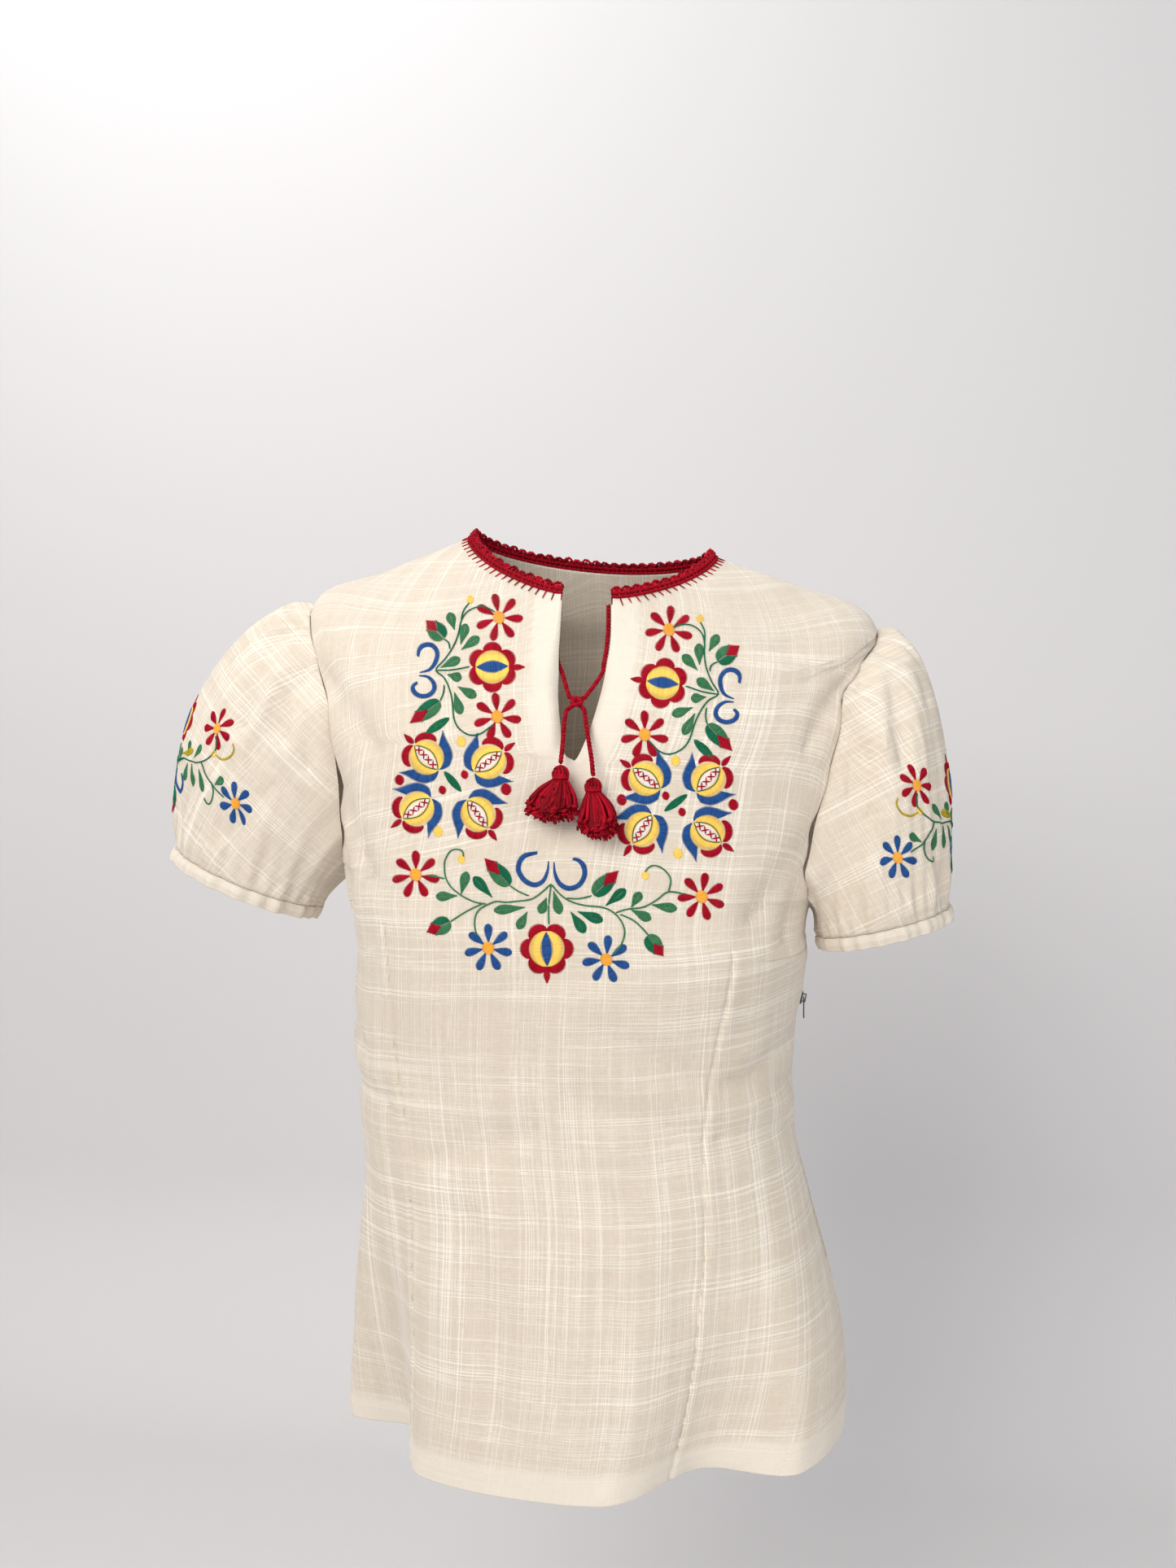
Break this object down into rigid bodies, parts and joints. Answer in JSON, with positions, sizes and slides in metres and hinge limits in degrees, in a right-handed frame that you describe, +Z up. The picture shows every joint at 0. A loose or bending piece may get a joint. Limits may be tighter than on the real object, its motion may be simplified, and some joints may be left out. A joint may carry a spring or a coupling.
{
  "type": "embroidered folk blouse",
  "caption": "Short-sleeved cream cotton folk blouse in its worn shape, hollow inside, with puff sleeves, a slit neckline with crocheted edging, a tasselled tie cord and a side zip.",
  "frame": {"origin": "on the blouse's middle axis at the height of the neck points, where the shoulders carry it", "axes": "+Z up, -Y is the front, +X is the wearer's left"},
  "size_m": [0.5542, 0.2461, 0.6366],
  "materials": {
    "slub_cotton": "matt slub weave",
    "crimson_yarn": "matt crochet yarn",
    "zip_tape": "matt woven tape",
    "zip_metal": "dark satin"
  },
  "bodies": {
    "blouse": {"front": "slub_cotton", "back": "slub_cotton", "sleeve_right": "slub_cotton", "sleeve_left": "slub_cotton", "cuff_right": "slub_cotton", "cuff_left": "slub_cotton", "slit_facing": "slub_cotton", "neck_edging": "crimson_yarn", "tie_upper_right": "crimson_yarn", "tie_upper_left": "crimson_yarn", "tie_knot": "crimson_yarn", "tie_tail_right": "crimson_yarn", "tie_tail_left": "crimson_yarn", "tassel_right": "crimson_yarn", "tassel_left": "crimson_yarn", "side_zip": "zip_tape", "zip_slider": "zip_metal"},
    "pull": {"zip_pull": "zip_metal"}
  },
  "joints": [
    {"name": "zip_pull_hinge", "type": "hinge", "parent": "blouse", "child": "pull", "pos_m": [0.15134, -0.00456, -0.32021], "axis": [-0.0389, -0.9979, -0.0521], "range_deg": [-6, 150]}
  ]
}
